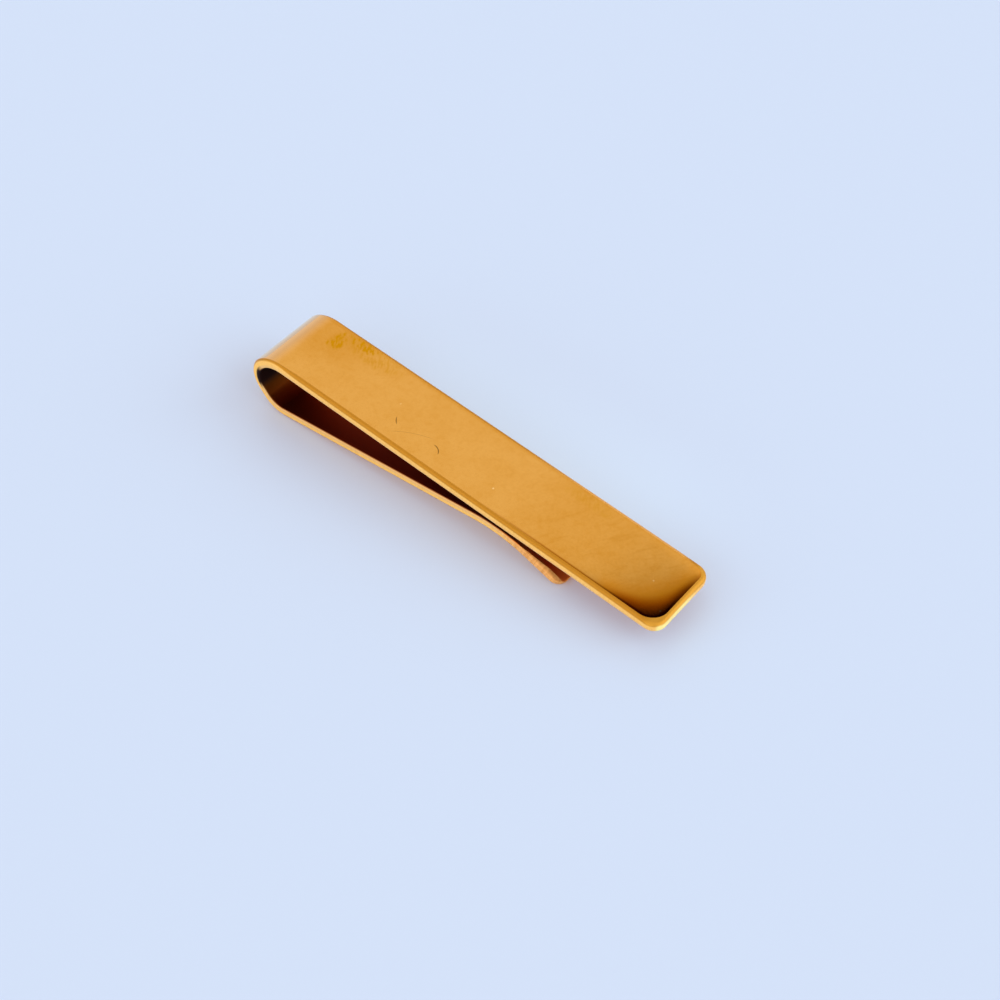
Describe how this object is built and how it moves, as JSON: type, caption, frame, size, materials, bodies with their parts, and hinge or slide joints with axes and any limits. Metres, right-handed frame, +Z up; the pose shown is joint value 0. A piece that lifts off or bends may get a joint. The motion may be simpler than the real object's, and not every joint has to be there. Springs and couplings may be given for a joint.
{
  "type": "tie clip",
  "caption": "Slide tie clip bent from one gold plated strip: flat front bar, rounded fold, sloping spring leaf, pinch bend and flared tip.",
  "frame": {"origin": "on the table, under the middle of the clip's box, as the clip rests front face up", "axes": "+X from the fold to the free end of the front bar, +Y across the strip, +Z up, out of the front face"},
  "size_m": [0.0574, 0.0096, 0.0086],
  "materials": {
    "gold_plate": "polished gold coloured plating"
  },
  "bodies": {
    "bar": {"front_bar": "gold_plate"},
    "fold": {"shoulder_bend": "gold_plate", "fold_bend": "gold_plate", "riser": "gold_plate"},
    "leaf": {"heel_bend": "gold_plate", "spring_leaf": "gold_plate", "pinch_bend": "gold_plate", "flared_tip": "gold_plate"}
  },
  "joints": [
    {"name": "heel_flex", "type": "hinge", "parent": "leaf", "child": "fold", "pos_m": [-0.02748, 0, 0.00152], "axis": [0, -1, 0], "range_deg": [0, 2.5], "stiffness_Nm_per_rad": 8.6},
    {"name": "fold_flex", "type": "hinge", "parent": "fold", "child": "bar", "pos_m": [-0.02354, 0, 0.0086], "axis": [0, -1, 0], "range_deg": [0, 2.5], "stiffness_Nm_per_rad": 8.6}
  ],
  "couplings": [
    {"joint": "heel_flex", "follows": "fold_flex", "ratio": 1}
  ]
}
